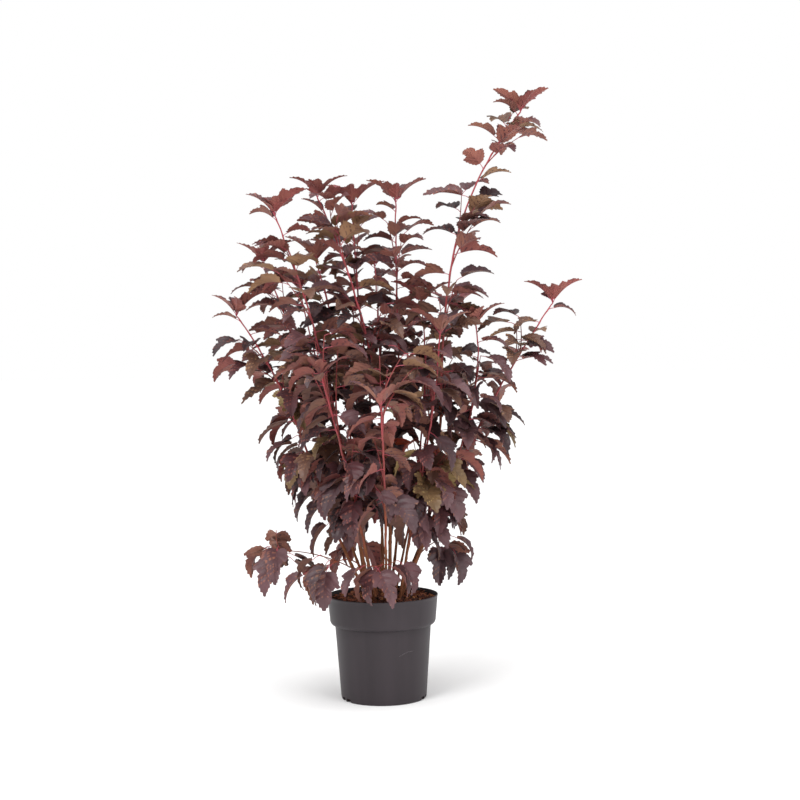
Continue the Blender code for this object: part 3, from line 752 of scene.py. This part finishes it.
def make_pot():
    steps = 160
    outer, inner = pot_profile()
    ring = outer + inner
    bm = bmesh.new()
    grid = []
    for k in range(steps):
        a = math.tau * k / steps
        grid.append([bm.verts.new((r * math.cos(a), r * math.sin(a), z)) for r, z in ring])
    cut = len(outer)
    n = len(ring)
    for k in range(steps):
        here, there = grid[k], grid[(k + 1) % steps]
        for i in range(n):
            j = (i + 1) % n
            if i == cut - 1:
                continue
            bm.faces.new((here[i], here[j], there[j], there[i]))
    bm.faces.new([grid[k][cut - 1] for k in range(steps)])
    bm.faces.new([grid[k][cut] for k in range(steps)])
    bmesh.ops.recalc_face_normals(bm, faces=bm.faces)
    mesh = bpy.data.meshes.new("nursery_pot")
    bm.to_mesh(mesh)
    bm.free()
    ob = bpy.data.objects.new("nursery_pot", mesh)
    bpy.context.scene.collection.objects.link(ob)
    cutters = []
    for middle in NOTCH_AT_DEG:
        for side in (-1, 1):
            a = math.radians(middle + side * NOTCH_PAIR_DEG / 2)
            block = bpy.data.meshes.new("notch")
            b = bmesh.new()
            bmesh.ops.create_cube(b, size=1.0)
            for v in b.verts:
                v.co.x *= NOTCH_WIDE * (0.86 if v.co.z > 0 else 1.0)
                v.co.y *= 0.016
                v.co.z *= 2 * NOTCH_HIGH
            b.to_mesh(block)
            b.free()
            cutter = bpy.data.objects.new("notch", block)
            cutter.location = (BASE_R * math.sin(a), -BASE_R * math.cos(a), 0.0)
            cutter.rotation_euler = (0, 0, a)
            bpy.context.scene.collection.objects.link(cutter)
            mod = ob.modifiers.new("Notch", "BOOLEAN")
            mod.operation = "DIFFERENCE"
            mod.object = cutter
            cutters.append(cutter)
    bpy.context.view_layer.update()
    final = bpy.data.meshes.new_from_object(ob.evaluated_get(bpy.context.evaluated_depsgraph_get()))
    ob.modifiers.clear()
    ob.data = final
    for c in cutters:
        bpy.data.objects.remove(c, do_unlink=True)
    final.shade_smooth()
    final.set_sharp_from_angle(angle=math.radians(32))
    return ob


pot = make_pot()
pot.data.materials.clear()
plastic = plain("pot_plastic", srgb(51, 44, 48), 0.48, 0.16, 26, 0.10, 900, (1, 1, 0.10), 0.30)
pot.data.materials.append(plastic)
root(pot)
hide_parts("pot")

# a fine curved scratch on the front of the body
scratch = Heap()
line = []
for k in range(15):
    t = k / 14
    x = 0.030 + 0.026 * t
    z = 0.092 + 0.006 * math.sin(t * 1.9) + 0.002 * t
    r = body_radius(z) + 0.00002
    line.append((x, -math.sqrt(max(0.0, r * r - x * x)), z))
tube(scratch, line, [0.00016] * 15, 4, 0)
root(scratch.build("pot_scratch", [plain("scratch", srgb(112, 104, 108), 0.55, 0.05)]))

# ---------------------------------------------------------------- bark mulch
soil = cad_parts["soil"]
soil.data.materials.clear()
soil.data.materials.append(plain("mulch_bed", srgb(58, 34, 26), 0.95, 0.35, 160, 1.0, 420, specular=0.2))
CHIPS = {
    "dark": (srgb(74, 44, 36), 330), "rust": (srgb(122, 70, 50), 320), "tan": (srgb(172, 118, 76), 130),
}
for number, (name, (colour, count)) in enumerate(CHIPS.items()):
    rng = random.Random(300 + number)
    heap = Heap()
    for _ in range(count):
        r = 0.0965 * math.sqrt(rng.random())
        a = rng.uniform(0, math.tau)
        long, broad, thick = rng.uniform(0.007, 0.018), rng.uniform(0.003, 0.0075), rng.uniform(0.0010, 0.0028)
        if name == "tan":
            long, broad = rng.uniform(0.005, 0.012), rng.uniform(0.0012, 0.003)
        room = 0.1012 - r
        long = min(long, 2 * room + 0.004)
        turn = Matrix.Rotation(rng.uniform(0, math.tau), 3, "Z") @ Matrix.Rotation(rng.gauss(0, 0.30), 3, "X") @ Matrix.Rotation(rng.gauss(0, 0.28), 3, "Y")
        centre = Vector((r * math.cos(a), r * math.sin(a), SOIL_TOP_Z + 0.0012 + rng.uniform(0, 0.0035)))
        pts = []
        for i in range(8):
            x, y, z = (1 if i & 1 else -1), (1 if i & 2 else -1), (1 if i & 4 else -1)
            p = Vector((
                x * long / 2 * rng.uniform(0.75, 1.1), y * broad / 2 * rng.uniform(0.6, 1.1) * (0.6 if x > 0 else 1.0), z * thick / 2 * rng.uniform(0.7, 1.1),
            ))
            pts.append((centre + turn @ p)[:])
        faces = [(0, 2, 3, 1), (4, 5, 7, 6), (0, 1, 5, 4), (2, 6, 7, 3), (0, 4, 6, 2), (1, 3, 7, 5)]
        heap.add(pts, faces, [0] * 6)
    root(heap.build("mulch_" + name, [plain("mulch_" + name, colour, 0.88, 0.30, 220, 0.8, 600, specular=0.25)], 25))

# ---------------------------------------------------------------- floor, light and camera
floor_mesh = bpy.data.meshes.new("floor")
floor_mesh.from_pydata([(-30, -12, 0), (30, -12, 0), (30, 60, 0), (-30, 60, 0)], [], [(0, 1, 2, 3)])
floor = bpy.data.objects.new("floor", floor_mesh)
bpy.context.scene.collection.objects.link(floor)
floor_mat = bpy.data.materials.new("floor_white")
floor_mat.use_nodes = True
floor_shader = floor_mat.node_tree.nodes["Principled BSDF"]
floor_shader.inputs["Base Color"].default_value = (0.97, 0.97, 0.97, 1)
floor_shader.inputs["Roughness"].default_value = 1.0
floor_shader.inputs["Specular IOR Level"].default_value = 0.0
floor_mesh.materials.append(floor_mat)

world = bpy.data.worlds.new("studio")
bpy.context.scene.world = world
world.use_nodes = True
world.node_tree.nodes["Background"].inputs["Color"].default_value = (1, 1, 1, 1)
world.node_tree.nodes["Background"].inputs["Strength"].default_value = 1.0
SKY = 0.46  # what the white studio gives as light, while it shows as pure white
ray = world.node_tree.nodes.new("ShaderNodeLightPath")
level = world.node_tree.nodes.new("ShaderNodeMapRange")
level.inputs["To Min"].default_value = SKY
level.inputs["To Max"].default_value = 1.0
world.node_tree.links.new(ray.outputs["Is Camera Ray"], level.inputs["Value"])
world.node_tree.links.new(level.outputs["Result"], world.node_tree.nodes["Background"].inputs["Strength"])


def area(name, place, aim, size, watts):
    light = bpy.data.lights.new(name, "AREA")
    light.shape = "DISK"
    light.size = size
    light.energy = watts
    ob = bpy.data.objects.new(name, light)
    ob.location = place
    ob.rotation_euler = (Vector(aim) - Vector(place)).to_track_quat("-Z", "Y").to_euler()
    bpy.context.scene.collection.objects.link(ob)


area("key", (-1.6, -2.4, 2.6), (0, 0, 0.5), 1.6, 58)
area("fill", (2.2, -2.4, 1.5), (0, 0, 0.5), 1.8, 34)

sun_data = bpy.data.lights.new("ceiling", "SUN")
sun_data.energy = 2.15
sun_data.angle = math.radians(62)
sun = bpy.data.objects.new("ceiling", sun_data)
sun.rotation_euler = (math.radians(7), math.radians(1), 0)
bpy.context.scene.collection.objects.link(sun)

camera_data = bpy.data.cameras.new("camera")
camera_data.lens = 66.6
camera_data.sensor_width = 36.0
camera_data.sensor_fit = "HORIZONTAL"
camera_data.clip_end = 200
camera = bpy.data.objects.new("camera", camera_data)
camera.matrix_world = (
    Matrix.Translation((0.0385, -2.8, 0.638))
    @ Matrix.Rotation(math.radians(90 - 1.52), 4, "X")
    @ Matrix.Rotation(math.radians(-0.85), 4, "Z")
)
bpy.context.scene.collection.objects.link(camera)
bpy.context.scene.camera = camera
bpy.context.scene.view_settings.view_transform = "Standard"

total = sum(len(f) - 2 for h in (*leaf_heaps.values(), petioles, stems, twig_heap) for f in h.faces)
print("leaves", leaf_number, "triangles on the plant", total)
for tint, heap in leaf_heaps.items():
    print(tint, sum(len(f) - 2 for f in heap.faces))
bpy.context.view_layer.update()
